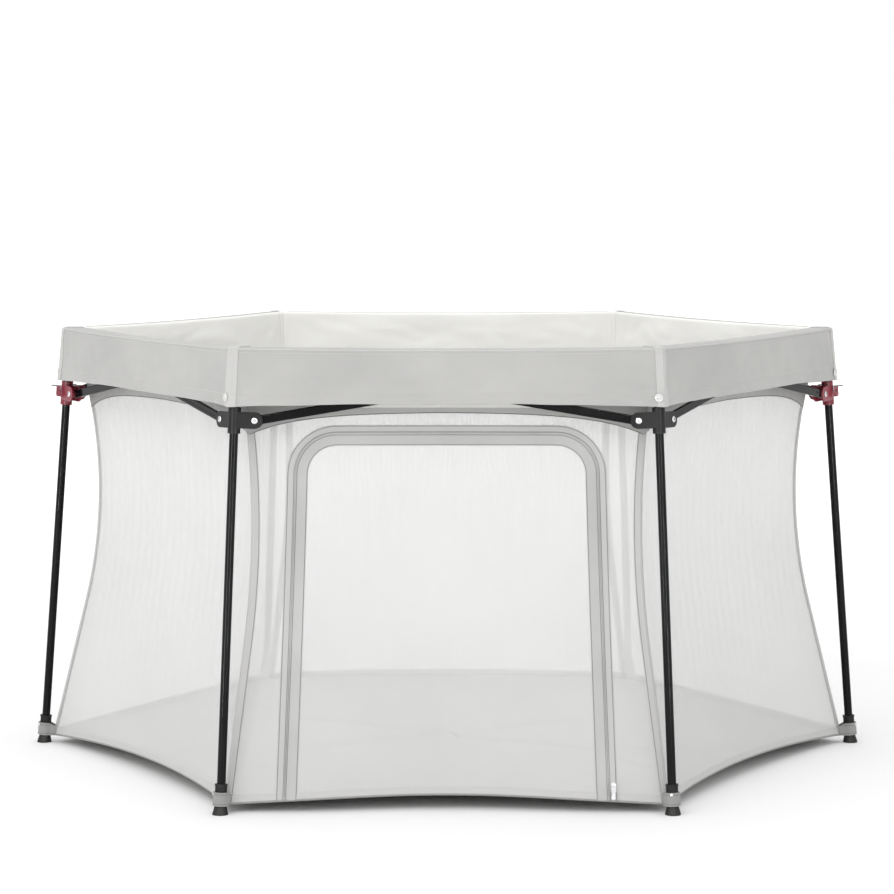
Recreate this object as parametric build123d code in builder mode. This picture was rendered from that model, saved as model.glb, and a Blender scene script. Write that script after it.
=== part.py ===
"""Travel play yard: a six-sided folding frame with scissor sides, mesh walls, a floor and a zipped door.

Millimetres, +Z up. The origin is on the ground at the centre of the six feet, and the front side faces -Y.
Leg i stands at 60 * i degrees from +X, and side i runs from leg i (its start) to leg i + 1 (its end).
Seen from outside, a side's start leg is on the left. Every leg, hub and slider is the same part turned.
"""

import os
from math import asin, atan, cos, degrees, pi, radians, sin, tan

from build123d import *

os.makedirs("parts", exist_ok=True)

# ---- the frame's driving dimensions
foot_radius = 666.0  # leg axes at the ground
leg_splay = 4.3  # degrees that each leg leans in towards its top
hub_height = 672.0  # top hub pivots above the ground
slider_height = 578.0  # slider pivots above the ground
pivot_reach = 30.0  # from the leg's axis across to a pivot

tube_radius = 6.5
tube_wall = 1.2
tube_bottom = 9.0  # along the leg
collar_radius = 9.5
hub_below = 16.0  # the top hub's collar below and above its pivots, along the leg
hub_above = 9.8
hub_cap = 3.0
slider_below = 20.0
slider_above = 18.5
hub_ear = 10.0  # the ears' end radii
slider_ear = 12.0
fork_half = 9.0  # half the width over an ear's two plates
fork_gap = 6.5  # half the gap between the plates
fork_root = 14.0  # from the pivot back to the bottom of the gap
boss_radius = 5.0
boss_past = 0.1  # how far the boss passes the leg's plane

bar_tall = 13.5
bar_thick = 5.6
bar_gap = 0.4  # from the leg's plane to each bar
bar_round = 1.8
groove_tall = 3.4
groove_deep = 0.8
groove_end = 26.0  # from the pivots
lug_radius = 8.0

pin_radius = 2.5
head_radius = 4.5
head_tall = 1.2
socket_radius = 1.9
socket_deep = 0.8
pin_clearance = 0.1  # a pin in a bar that turns on it
fixed_clearance = 0.05  # a pin or tube in the piece that holds it
slide_clearance = 0.4

sleeve_radius = 9.0
sleeve_rim = 9.6
rim_tall = 2.5
foot_length = 45.0
flare_top = 12.0
flare_radius = 11.8
bore_bottom = 8.0

# ---- the release levers
lock_legs = [0, 3]
lever_pivot = (13.0, -2.0)  # outward from the leg's axis, and along it from the slider's pivots
lever_half = 5.0
lever_block = (10.2, 17.0, -5.0, 9.0)  # inner face, outer face, lower end, upper end
fin_tip = 25.5
fin_tall = 1.5
fin_half = 4.0
trunnion_radius = 1.4
cheek_gap = 0.5
cheek_thick = 2.5
cheek_end = 15.5
cheek_low = -7.0
cheek_high = 1.5

# ---- the fabric
cloth = 1.5
band_bottom = 599.0
rim_height = 686.0
band_out_bottom = 13.5  # the band's outer face from the leg's plane, at its bottom and at the rim
band_out_top = 12.2
band_in = 20.0
floor_cloth = 3.0
floor_bottom = 10.0
floor_corner = 648.0
floor_middle = 3.0
seam_gap = 0.4  # half the gap between neighbouring pieces
wall_foot = (650.0, 13.6)  # the wall's corner radius and height: lower edge, end of the straight part, top
wall_knee = (594.0, 240.0)
wall_top = (590.0, 598.0)
loop_low = 12.6
loop_high = 33.0
loop_inner = 9.9
loop_outer = 11.8
loop_tail = 14.0
loop_half = 2.0

# ---- the door
door_side = 4
door_top = 556.0
door_half_top = 222.0
door_half_bottom = 240.0
door_corner = 62.0
door_gap = 0.6
zip_height = 36.0
zip_across = 246.0
zip_size = (8.0, 15.0, 4.0)  # across, along and off the wall
zip_off = 0.8
post_wide = 1.0
pull_pivot = 4.0  # above the zipper slider's middle
pull_size = (5.2, 19.0, 1.4)
pull_ring = 3.2
bail_radius = 0.85
bail_height = 2.5  # over the zipper slider's body
eye_wall = 1.0

leg_names = ["right", "back_right", "back_left", "left", "front_left", "front_right"]
side_names = ["right_back", "back", "left_back", "left_front", "front", "right_front"]

# ---- what follows from them
splay = radians(leg_splay)
lean = asin(sin(splay) / 2)  # a leg's lean within its side's plane
tilt = atan(tan(splay) * cos(pi / 6))  # the side plane's lean from upright
flat = cos(pi / 6)  # corner radius to the middle of a side
up = Vector(0, 0, 1)


def spoke(angle):
    """Unit vector away from the centre."""
    return Vector(cos(radians(angle)), sin(radians(angle)), 0)


def leg_plane(i):
    """On leg i's axis at the ground: local Z up the leg, local X away from the centre."""
    out = spoke(60 * i)
    upward = out * -sin(splay) + up * cos(splay)
    return Plane(origin=out * foot_radius, x_dir=out * cos(splay) + up * sin(splay), z_dir=upward)


def side_plane(i):
    """Through both leg axes of side i: local X from start to end, local Y up, local Z outwards."""
    out = spoke(60 * i + 30)
    along = up.cross(out)
    rising = out * -sin(tilt) + up * cos(tilt)
    return Plane(origin=out * (foot_radius * flat), x_dir=along, z_dir=along.cross(rising))


def pivot_place(along, end):
    """A pivot in the side's plane, this far along the leg. end is -1 at the start leg, 1 at the end leg."""
    x = foot_radius / 2 - along * sin(lean) - pivot_reach * cos(lean)
    return (end * x, along * cos(lean) - pivot_reach * sin(lean))


def along_leg(height):
    """The distance along the leg of a pivot that stands this far above the ground."""
    return (height / cos(tilt) + pivot_reach * sin(lean)) / cos(lean)


hub_along = along_leg(hub_height)
slider_along = along_leg(slider_height)
hub_x, hub_y = pivot_place(hub_along, 1)
slider_x, slider_y = pivot_place(slider_along, 1)

# Both arms of a bar, from its crossing pivot to its ends, have one length, and a bar's crossing pivot lies
# under the straight line between its ends by the legs' lean. So the legs keep their directions in the fold.
rise_share = (hub_along - slider_along) / (2 * hub_x)
bar_angle = atan(rise_share * cos(lean) / (1 + rise_share * sin(lean)))
arm = hub_x / cos(bar_angle + lean)
crossing_y = hub_y - arm * sin(bar_angle + lean)


def ear_plane(side, along, end):
    """At a pivot: local X away from the leg, local Z outwards."""
    base = side_plane(side)
    away = base.x_dir * (-end * cos(lean)) - base.y_dir * sin(lean)
    x, y = pivot_place(along, end)
    return Plane(origin=base.from_local_coords((x, y, 0)), x_dir=away, z_dir=base.z_dir)


def turned_over(plane):
    return Plane(origin=plane.origin, x_dir=plane.x_dir, z_dir=plane.z_dir * -1)


def add_fork(plane, ear_radius, layer):
    """Two plates, and a boss that fills the layer its bar leaves free. layer is 1 for outer bars."""
    with BuildSketch(plane) as outline:
        Rectangle(pivot_reach, 2 * ear_radius, align=(Align.MAX, Align.CENTER))
        Circle(ear_radius)
    extrude(outline.sketch, amount=fork_half, both=True)
    with BuildSketch(plane) as gap:
        with Locations((-fork_root, 0)):
            Rectangle(fork_root + 2 * ear_radius, 3 * ear_radius, align=(Align.MIN, Align.CENTER))
    extrude(gap.sketch, amount=fork_gap, both=True, mode=Mode.SUBTRACT)
    with BuildSketch(plane.offset(-layer * fork_gap)) as boss:
        Circle(boss_radius)
    extrude(boss.sketch, amount=layer * (fork_gap + boss_past))
    with BuildSketch(plane) as hole:
        Circle(pin_radius + fixed_clearance)
    extrude(hole.sketch, amount=2 * fork_half, both=True, mode=Mode.SUBTRACT)


def add_rivet(plane, half_length):
    """A rivet through the plane with a head at each end, a little clear of what it holds."""
    reach = half_length + fixed_clearance
    with BuildSketch(plane) as shank:
        Circle(pin_radius)
    extrude(shank.sketch, amount=reach, both=True)
    for face in (plane, turned_over(plane)):
        with BuildSketch(face.offset(reach)) as head:
            Circle(head_radius)
        extrude(head.sketch, amount=head_tall, taper=30)
    with BuildSketch(plane.offset(reach + head_tall)) as socket:
        RegularPolygon(socket_radius, 6)
    extrude(socket.sketch, amount=-socket_deep, mode=Mode.SUBTRACT)


def add_ring(plane, low, high, outer):
    with BuildSketch(plane.offset(low)) as ring:
        Circle(outer)
    extrude(ring.sketch, amount=high - low)


def cut_bore(plane, low, high, radius):
    with BuildSketch(plane.offset(low)) as bore:
        Circle(radius)
    extrude(bore.sketch, amount=high - low, mode=Mode.SUBTRACT)


def keep_wedge(i):
    """Keeps what lies between the two seams of side i."""
    out = spoke(60 * i + 30)
    far = 2 * foot_radius
    half = far * tan(pi / 6)
    start = seam_gap / sin(pi / 6)
    with BuildSketch(Plane(origin=(0, 0, -1), x_dir=out, z_dir=(0, 0, 1))) as wedge:
        Polygon((start, 0), (start + far, -half), (start + far, half), align=None)
    extrude(wedge.sketch, amount=rim_height + 100, mode=Mode.INTERSECT)


def section_plane(i):
    """Upright through the middle of side i: local X outwards, local Y up."""
    out = spoke(60 * i + 30)
    return Plane(origin=(0, 0, 0), x_dir=out, z_dir=out.cross(up))


def off_legs(height, distance):
    """A point of a side's section, this far outside the legs' plane."""
    return ((foot_radius - height * tan(splay)) * flat + distance / cos(tilt), height)


def write(part, name):
    part.label = name
    export_step(part, f"parts/{name}.step")


# ---- legs, top hubs, feet and sliders
for i, corner in enumerate(leg_names):
    axis = leg_plane(i)
    tube_top = hub_along + hub_above - hub_cap
    next_side, last_side = i, (i - 1) % 6

    with BuildPart() as leg_tube:
        add_ring(axis, tube_bottom, tube_top, tube_radius)
        cut_bore(axis, tube_bottom - 1, tube_top + 1, tube_radius - tube_wall)
    write(leg_tube.part, f"leg_tube_{corner}")

    with BuildPart() as top_hub:
        add_ring(axis, hub_along - hub_below, hub_along + hub_above, collar_radius)
        add_fork(ear_plane(next_side, hub_along, -1), hub_ear, 1)
        add_fork(ear_plane(last_side, hub_along, 1), hub_ear, -1)
        cut_bore(axis, 0, tube_top + fixed_clearance, tube_radius + fixed_clearance)
        add_rivet(ear_plane(next_side, hub_along, -1), fork_half)
        add_rivet(ear_plane(last_side, hub_along, 1), fork_half)
    write(top_hub.part, f"top_hub_{corner}")

    with BuildPart() as foot:
        with BuildSketch(Plane(origin=axis.origin, x_dir=axis.x_dir, z_dir=axis.y_dir * -1)) as half_foot:
            with BuildLine():
                Polyline(
                    (0, -2),
                    (flare_radius + 0.2, -2),
                    (flare_radius, 1),
                    (sleeve_radius, flare_top),
                    (sleeve_radius, foot_length - rim_tall),
                    (sleeve_rim, foot_length - rim_tall),
                    (sleeve_rim, foot_length),
                    (0, foot_length),
                    close=True,
                )
            make_face()
        revolve(axis=Axis(axis.origin, axis.z_dir))
        cut_bore(axis, bore_bottom, foot_length + 1, tube_radius + fixed_clearance)
        split(bisect_by=Plane.XY, keep=Keep.TOP)
    write(foot.part, f"foot_{corner}")

    with BuildPart() as slider:
        add_ring(axis, slider_along - slider_below, slider_along + slider_above, collar_radius)
        add_fork(ear_plane(next_side, slider_along, -1), slider_ear, -1)
        add_fork(ear_plane(last_side, slider_along, 1), slider_ear, 1)
        if i in lock_legs:
            for hand in (-1, 1):
                cheek_middle = hand * (lever_half + cheek_gap + cheek_thick / 2)
                with BuildSketch(axis.offset(slider_along + cheek_low)) as cheek:
                    with Locations((cheek_end, cheek_middle)):
                        Rectangle(cheek_end, cheek_thick, align=(Align.MAX, Align.CENTER))
                extrude(cheek.sketch, amount=cheek_high - cheek_low)
            pivot_origin = axis.from_local_coords((lever_pivot[0], 0, slider_along + lever_pivot[1]))
            lever_axis = Plane(origin=pivot_origin, x_dir=axis.x_dir, z_dir=axis.y_dir)
            with BuildSketch(lever_axis) as trunnion_hole:
                Circle(trunnion_radius + pin_clearance)
            extrude(trunnion_hole.sketch, amount=collar_radius, both=True, mode=Mode.SUBTRACT)
        cut_bore(axis, 0, 2 * slider_along, tube_radius + slide_clearance)
        add_rivet(ear_plane(next_side, slider_along, -1), fork_half)
        add_rivet(ear_plane(last_side, slider_along, 1), fork_half)
    write(slider.part, f"slider_{corner}")

    if i in lock_legs:
        inner, outer, low, high = lever_block
        with BuildPart() as lever:
            with BuildSketch(axis.offset(slider_along + low)) as block:
                with Locations((inner, 0)):
                    Rectangle(outer - inner, 2 * lever_half, align=(Align.MIN, Align.CENTER))
            extrude(block.sketch, amount=high - low)
            with BuildSketch(axis.offset(slider_along + high)) as fin:
                with Locations((inner, 0)):
                    Rectangle(fin_tip - inner, 2 * fin_half, align=(Align.MIN, Align.CENTER))
            extrude(fin.sketch, amount=fin_tall)
            with BuildSketch(lever_axis) as trunnion:
                Circle(trunnion_radius)
            extrude(trunnion.sketch, amount=lever_half + cheek_gap + cheek_thick, both=True)
        write(lever.part, f"release_lever_{corner}")

# ---- scissor bars
hub_point = (-hub_x, hub_y)
slider_point = (slider_x, slider_y)
chord = (Vector(*slider_point) - Vector(*hub_point)).length
chord_angle = degrees(atan((slider_y - hub_y) / (slider_x + hub_x)))
chord_middle = ((slider_x - hub_x) / 2, (slider_y + hub_y) / 2)


def bar_place(layer):
    """A bar's middle and turn in its side's plane. Outer bars fall from start to end, inner bars rise."""
    return Location((layer * chord_middle[0], chord_middle[1], 0), (0, 0, layer * chord_angle))


for i, side in enumerate(side_names):
    base = side_plane(i)
    crossing = Plane(origin=base.from_local_coords((0, crossing_y, 0)), x_dir=base.x_dir, z_dir=base.z_dir)
    for layer, layer_name in ((1, "outer"), (-1, "inner")):
        inner_face = base.offset(layer * bar_gap)
        with BuildPart() as bar:
            with BuildSketch(inner_face) as blank:
                with Locations(bar_place(layer)):
                    SlotCenterToCenter(chord, bar_tall)
            extrude(blank.sketch, amount=layer * bar_thick)
            fillet(bar.faces().filter_by(Axis(base.origin, base.z_dir)).edges(), bar_round)
            with BuildSketch(inner_face) as lug:
                with Locations((0, crossing_y)):
                    Circle(lug_radius)
                    Rectangle(2 * lug_radius, chord_middle[1] - crossing_y, align=(Align.CENTER, Align.MIN))
            extrude(lug.sketch, amount=layer * bar_thick)
            with BuildSketch(base.offset(layer * (bar_gap + bar_thick - groove_deep))) as groove:
                with Locations(bar_place(layer)):
                    SlotCenterToCenter(chord - 2 * groove_end, groove_tall)
            extrude(groove.sketch, amount=layer * groove_deep, mode=Mode.SUBTRACT)
            with BuildSketch(base) as holes:
                with Locations((-layer * hub_x, hub_y), (0, crossing_y), (layer * slider_x, slider_y)):
                    Circle(pin_radius + pin_clearance)
            extrude(holes.sketch, amount=2 * fork_half, both=True, mode=Mode.SUBTRACT)
            if layer == 1:
                add_rivet(crossing, bar_gap + bar_thick)
        write(bar.part, f"bar_{layer_name}_{side}")

# ---- rim band, mesh walls and floor


def wall_shell(i):
    """The wall's thin curved shell, straight along the side and pulled in at mid height."""
    foot_at = (wall_foot[0] * flat, wall_foot[1])
    knee_at = (wall_knee[0] * flat, wall_knee[1])
    top_at = (wall_top[0] * flat, wall_top[1])
    rising = (knee_at[0] - foot_at[0], knee_at[1] - foot_at[1])
    with BuildSketch(section_plane(i)) as section:
        with BuildLine():
            Line(foot_at, knee_at)
            TangentArc(knee_at, top_at, tangent=rising)
            Line(top_at, (top_at[0] - cloth, top_at[1]))
            TangentArc((knee_at[0] - cloth, knee_at[1]), (top_at[0] - cloth, top_at[1]), tangent=rising)
            Line((foot_at[0] - cloth, foot_at[1]), (knee_at[0] - cloth, knee_at[1]))
            Line((foot_at[0] - cloth, foot_at[1]), foot_at)
        make_face()
    extrude(section.sketch, amount=foot_radius, both=True)
    keep_wedge(i)


def door_prism(shrink, mode):
    out = spoke(60 * door_side + 30)
    with BuildSketch(Plane(origin=out * (foot_radius / 2), x_dir=up.cross(out), z_dir=out)) as doorway:
        Polygon(
            (-door_half_bottom + shrink, 0),
            (door_half_bottom - shrink, 0),
            (door_half_top - shrink, door_top - shrink),
            (-door_half_top + shrink, door_top - shrink),
            align=None,
        )
        fillet(doorway.vertices().group_by(Axis.Y)[-1], door_corner)
    extrude(doorway.sketch, amount=foot_radius, mode=mode)


for i, side in enumerate(side_names):
    axis = leg_plane(i)

    with BuildPart() as band:
        with BuildSketch(section_plane(i)) as section:
            Polygon(
                off_legs(band_bottom, band_out_bottom),
                off_legs(rim_height, band_out_top),
                off_legs(rim_height, -band_in),
                off_legs(band_bottom, -band_in),
                align=None,
            )
            Polygon(
                off_legs(band_bottom - 1, band_out_bottom - cloth),
                off_legs(rim_height - cloth, band_out_top - cloth),
                off_legs(rim_height - cloth, cloth - band_in),
                off_legs(band_bottom - 1, cloth - band_in),
                align=None,
                mode=Mode.SUBTRACT,
            )
        extrude(section.sketch, amount=foot_radius, both=True)
        keep_wedge(i)
    write(band.part, f"band_{side}")

    with BuildPart() as wall:
        wall_shell(i)
        if i == door_side:
            door_prism(0, Mode.SUBTRACT)
        with BuildPart(mode=Mode.PRIVATE) as webbing:
            add_ring(axis, loop_low, loop_high, loop_outer)
            with BuildSketch(axis.offset(loop_low)) as tail:
                with Locations((-loop_tail, 0)):
                    Rectangle(loop_tail, 2 * loop_half, align=(Align.MIN, Align.CENTER))
            extrude(tail.sketch, amount=loop_high - loop_low)
            cut_bore(axis, 0, foot_length, loop_inner)
        add(webbing.part)
    write(wall.part, f"wall_{side}")

    with BuildPart() as floor:
        out = spoke(60 * i + 30)
        edge = floor_corner * flat
        with BuildSketch(Plane(origin=(0, 0, floor_bottom), x_dir=out, z_dir=(0, 0, 1))) as sector:
            Polygon(
                (floor_middle, -floor_middle * tan(pi / 6)),
                (edge, -edge * tan(pi / 6)),
                (edge, edge * tan(pi / 6)),
                (floor_middle, floor_middle * tan(pi / 6)),
                align=None,
            )
        extrude(sector.sketch, amount=floor_cloth)
        keep_wedge(i)
    write(floor.part, f"floor_{side}")

# ---- door, zipper slider and its pull
with BuildPart() as door:
    wall_shell(door_side)
    door_prism(door_gap, Mode.INTERSECT)
write(door.part, "door_panel")

front = spoke(60 * door_side + 30)
wall_slope = atan((wall_foot[0] - wall_knee[0]) * flat / (wall_knee[1] - wall_foot[1]))
wall_normal = front * cos(wall_slope) + up * sin(wall_slope)
zip_radius = wall_foot[0] * flat - (zip_height - wall_foot[1]) * tan(wall_slope)
zip_middle = front * zip_radius + up * zip_height + up.cross(front) * zip_across
zip_plane = Plane(origin=zip_middle, x_dir=up.cross(front), z_dir=wall_normal).offset(zip_off)
pull_axis = zip_plane.from_local_coords((0, pull_pivot, zip_size[2] + bail_height))
bail_plane = Plane(origin=pull_axis, x_dir=zip_plane.y_dir, z_dir=zip_plane.x_dir)

with BuildPart() as zipper_slider:
    with BuildSketch(zip_plane) as body:
        RectangleRounded(zip_size[0], zip_size[1], 2.5)
    extrude(body.sketch, amount=zip_size[2])
    for hand in (-1, 1):
        with BuildSketch(zip_plane.offset(zip_size[2])) as post:
            with Locations((hand * (zip_size[0] - post_wide) / 2, pull_pivot)):
                Rectangle(post_wide, 2 * post_wide)
        extrude(post.sketch, amount=bail_height + post_wide)
    with BuildSketch(bail_plane) as bail:
        Circle(bail_radius)
    extrude(bail.sketch, amount=(zip_size[0] - post_wide) / 2, both=True)
write(zipper_slider.part, "zipper_slider")

with BuildPart() as zipper_pull:
    with BuildSketch(bail_plane) as eye:
        Circle(bail_radius + eye_wall)
    extrude(eye.sketch, amount=pull_size[0] / 2, both=True)
    with BuildSketch(zip_plane.offset(zip_size[2] + bail_height - pull_size[2] / 2)) as tab:
        with Locations((0, pull_pivot)):
            Rectangle(pull_size[0], pull_size[1], align=(Align.CENTER, Align.MAX))
        with Locations((0, pull_pivot - pull_size[1])):
            Circle(pull_ring)
    extrude(tab.sketch, amount=pull_size[2])
    with BuildSketch(bail_plane) as eye_hole:
        Circle(bail_radius + pin_clearance)
    extrude(eye_hole.sketch, amount=pull_size[0], both=True, mode=Mode.SUBTRACT)
write(zipper_pull.part, "zipper_pull")
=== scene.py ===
from math import atan, asin, cos, exp, pi, radians, sin, sqrt, tan

import bmesh
import bpy
from mathutils import Matrix, Vector, noise


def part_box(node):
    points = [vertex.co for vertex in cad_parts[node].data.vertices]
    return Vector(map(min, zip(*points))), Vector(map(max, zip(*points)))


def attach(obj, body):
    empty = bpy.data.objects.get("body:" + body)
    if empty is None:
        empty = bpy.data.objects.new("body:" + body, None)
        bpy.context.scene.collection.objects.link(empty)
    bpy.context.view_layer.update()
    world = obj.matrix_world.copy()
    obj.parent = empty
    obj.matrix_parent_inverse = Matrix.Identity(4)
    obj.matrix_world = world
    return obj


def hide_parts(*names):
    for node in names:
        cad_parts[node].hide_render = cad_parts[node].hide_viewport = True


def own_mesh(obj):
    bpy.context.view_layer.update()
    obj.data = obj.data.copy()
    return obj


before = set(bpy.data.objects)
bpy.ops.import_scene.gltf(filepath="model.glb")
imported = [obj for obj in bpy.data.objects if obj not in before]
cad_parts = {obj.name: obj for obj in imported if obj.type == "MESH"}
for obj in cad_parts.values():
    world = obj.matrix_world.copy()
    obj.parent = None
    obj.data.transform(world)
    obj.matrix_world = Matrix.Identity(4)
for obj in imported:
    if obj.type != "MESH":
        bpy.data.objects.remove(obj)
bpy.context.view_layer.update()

# the yard's own measures, in metres, as in the CAD
yardSize = {
    "footRadius": 0.666,  # leg axes at the ground
    "splay": radians(4.3),  # each leg leans in towards its top
    "sliderHeight": 0.578,
    "pivotReach": 0.030,
    "doorSide": 4,
}
cornerNames = ["right", "back_right", "back_left", "left", "front_left", "front_right"]
sideNames = ["right_back", "back", "left_back", "left_front", "front", "right_front"]

up = Vector((0, 0, 1))
flat = cos(pi / 6)  # corner radius to the middle of a side
lean = asin(sin(yardSize["splay"]) / 2)
tilt = atan(tan(yardSize["splay"]) * flat)


def spoke(angle):
    return Vector((cos(radians(angle)), sin(radians(angle)), 0))


def sideAxes(i):
    out = spoke(60 * i + 30)
    return out, up.cross(out)


def wave(x, y, z):
    return noise.noise(Vector((x, y, z)))


# shader groups


def shaderGroup(name, inputs, outputs):
    group = bpy.data.node_groups.new(name, "ShaderNodeTree")
    for label, kind, value in inputs:
        socket = group.interface.new_socket(name=label, in_out="INPUT", socket_type="NodeSocket" + kind)
        if value is not None:
            socket.default_value = value
    for label in outputs:
        group.interface.new_socket(name=label, in_out="OUTPUT", socket_type="NodeSocketFloat")
    return group, group.nodes.new("NodeGroupInput").outputs, group.nodes.new("NodeGroupOutput").inputs


def put(tree, kind, sockets=None, **settings):
    made = tree.nodes.new("ShaderNode" + kind)
    for name, value in settings.items():
        setattr(made, name, value)
    for name, value in (sockets or {}).items():
        if isinstance(value, bpy.types.NodeSocket):
            tree.links.new(value, made.inputs[name])
        else:
            made.inputs[name].default_value = value
    return made


def sums(tree, operation, *values):
    made = put(tree, "Math", dict(enumerate(values)), operation=operation)
    return made.outputs[0]


def waved(tree, value, pitch):
    turns = sums(tree, "DIVIDE", value, pitch)
    return sums(tree, "SINE", sums(tree, "MULTIPLY", turns, 2 * pi))


def makeWeaveGroup():
    group, given, made = shaderGroup(
        "plainWeave", [("Vector", "Vector", None), ("Pitch", "Float", 0.001)], ["Height", "Thread"]
    )
    spot = put(group, "SeparateXYZ", {0: given["Vector"]})
    warp = waved(group, spot.outputs["X"], given["Pitch"])
    weft = waved(group, spot.outputs["Y"], given["Pitch"])
    crossed = sums(group, "MULTIPLY", warp, weft)
    slub = put(group, "TexNoise", {"Vector": given["Vector"], "Scale": 320.0, "Detail": 2.0})
    height = sums(group, "MULTIPLY_ADD", crossed, 0.5, slub.outputs["Fac"])
    group.links.new(height, made["Height"])
    group.links.new(sums(group, "MULTIPLY_ADD", crossed, 0.5, 0.5), made["Thread"])
    return group


def makeNetGroup():
    # diamond net: 1 on a thread and 0 in a hole
    group, given, made = shaderGroup(
        "knittedNet",
        [("Vector", "Vector", None), ("Pitch", "Float", 0.002), ("Open", "Float", 0.5)],
        ["Thread"],
    )
    spot = put(group, "SeparateXYZ", {0: given["Vector"]})
    rising = sums(group, "ADD", spot.outputs["X"], spot.outputs["Y"])
    falling = sums(group, "SUBTRACT", spot.outputs["X"], spot.outputs["Y"])
    upward, downward = waved(group, rising, given["Pitch"]), waved(group, falling, given["Pitch"])
    crossed = sums(group, "MULTIPLY", upward, downward)
    hole = put(
        group,
        "MapRange",
        {
            "Value": sums(group, "ABSOLUTE", crossed),
            "From Min": sums(group, "MULTIPLY", given["Open"], 0.7),
            "From Max": given["Open"],
            "To Min": 1.0,
            "To Max": 0.0,
        },
    )
    group.links.new(hole.outputs["Result"], made["Thread"])
    return group


def makeWearGroup():
    # bright where the surface turns over an edge, broken up by a fine noise
    group, given, made = shaderGroup(
        "edgeWear", [("Vector", "Vector", None), ("Amount", "Float", 0.5)], ["Wear"]
    )
    rounded = put(group, "Bevel", {"Radius": 0.0012}, samples=4)
    straight = put(group, "NewGeometry")
    turned = put(
        group,
        "VectorMath",
        {0: rounded.outputs["Normal"], 1: straight.outputs["Normal"]},
        operation="DOT_PRODUCT",
    )
    edge = put(group, "MapRange", {"Value": turned.outputs["Value"], "From Min": 0.99, "From Max": 0.86})
    patches = put(group, "TexNoise", {"Vector": given["Vector"], "Scale": 90.0, "Detail": 4.0})
    broken = put(group, "MapRange", {"Value": patches.outputs["Fac"], "From Min": 0.42, "From Max": 0.66})
    worn = sums(group, "MULTIPLY", edge.outputs["Result"], broken.outputs["Result"])
    group.links.new(sums(group, "MULTIPLY", worn, given["Amount"]), made["Wear"])
    return group


def makeGrainGroup():
    # Patch is broad and slow, for dust, colour and the painted fold shade on cloth; Grain is fine, for bump
    # and gloss
    group, given, made = shaderGroup(
        "surfaceGrain",
        [("Vector", "Vector", None), ("Patch Scale", "Float", 6.0), ("Grain Scale", "Float", 900.0)],
        ["Patch", "Grain"],
    )
    for label, detail in (("Patch", 3.0), ("Grain", 2.0)):
        cloud = put(
            group, "TexNoise", {"Vector": given["Vector"], "Scale": given[label + " Scale"], "Detail": detail}
        )
        group.links.new(cloud.outputs["Fac"], made[label])
    return group


def makeStitchGroup():
    # a dashed line along the cloth at one height
    group, given, made = shaderGroup(
        "stitchRow",
        [
            ("Vector", "Vector", None),
            ("Row", "Float", 0.01),
            ("Stitch", "Float", 0.004),
            ("Wide", "Float", 0.0006),
        ],
        ["Stitch"],
    )
    spot = put(group, "SeparateXYZ", {0: given["Vector"]})
    away = sums(group, "ABSOLUTE", sums(group, "SUBTRACT", spot.outputs["Y"], given["Row"]))
    near = sums(group, "LESS_THAN", away, given["Wide"])
    dash = sums(group, "GREATER_THAN", waved(group, spot.outputs["X"], given["Stitch"]), -0.5)
    group.links.new(sums(group, "MULTIPLY", near, dash), made["Stitch"])
    return group


groups = {
    "weave": makeWeaveGroup(),
    "net": makeNetGroup(),
    "wear": makeWearGroup(),
    "grain": makeGrainGroup(),
    "stitch": makeStitchGroup(),
}
print("shader groups built:", len(groups))

# materials


def startMaterial(name, plain):
    material = bpy.data.materials.new(name)
    material.use_nodes = True
    shader = material.node_tree.nodes["Principled BSDF"]
    for socket, value in plain.items():
        shader.inputs[socket].default_value = value
    return material, material.node_tree, shader


def useGroup(tree, name, sockets):
    made = put(tree, "Group", {}, node_tree=groups[name])
    for socket, value in sockets.items():
        if isinstance(value, bpy.types.NodeSocket):
            tree.links.new(value, made.inputs[socket])
        else:
            made.inputs[socket].default_value = value
    return made.outputs


def mixed(tree, factor, first, second):
    made = put(tree, "Mix", {"Factor": factor}, data_type="RGBA")
    for socket, value in ((made.inputs[6], first), (made.inputs[7], second)):
        if isinstance(value, bpy.types.NodeSocket):
            tree.links.new(value, socket)
        else:
            socket.default_value = (*value, 1)
    return made.outputs[2]


def ranged(tree, value, low, high, fromLow=0.3, fromHigh=0.7):
    made = put(
        tree,
        "MapRange",
        {"Value": value, "From Min": fromLow, "From Max": fromHigh, "To Min": low, "To Max": high},
    )
    return made.outputs["Result"]


def raised(tree, shader, heights):
    # one bump on another, each (height, distance in metres)
    last = None
    for height, distance in heights:
        bump = put(tree, "Bump", {"Height": height, "Distance": distance, "Strength": 1.0})
        if last:
            tree.links.new(last, bump.inputs["Normal"])
        last = bump.outputs["Normal"]
    tree.links.new(last, shader.inputs["Normal"])


def hardMaterial(name, look):
    # painted, moulded or plated: worn edges, a dusty patchy colour and a fine grain
    material, tree, shader = startMaterial(name, look["plain"])
    place = put(tree, "TexCoord").outputs["Object"]
    grain = useGroup(
        tree, "grain", {"Vector": place, "Patch Scale": look["patchScale"], "Grain Scale": look["grainScale"]}
    )
    wear = useGroup(tree, "wear", {"Vector": place, "Amount": look["wear"]})["Wear"]
    colour = mixed(tree, ranged(tree, grain["Patch"], 0, 1), look["colour"], look["dusty"])
    if "tip" in look:  # above or below one height the piece is another colour
        height = put(tree, "SeparateXYZ", {0: place}).outputs["Z"]
        colour = mixed(tree, sums(tree, look["tipSide"], height, look["tipHeight"]), colour, look["tip"])
    colour = mixed(tree, wear, colour, look["bare"])
    tree.links.new(colour, shader.inputs["Base Color"])
    tree.links.new(ranged(tree, grain["Patch"], *look["rough"]), shader.inputs["Roughness"])
    raised(tree, shader, [(grain["Grain"], look["bump"])])
    return material


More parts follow.
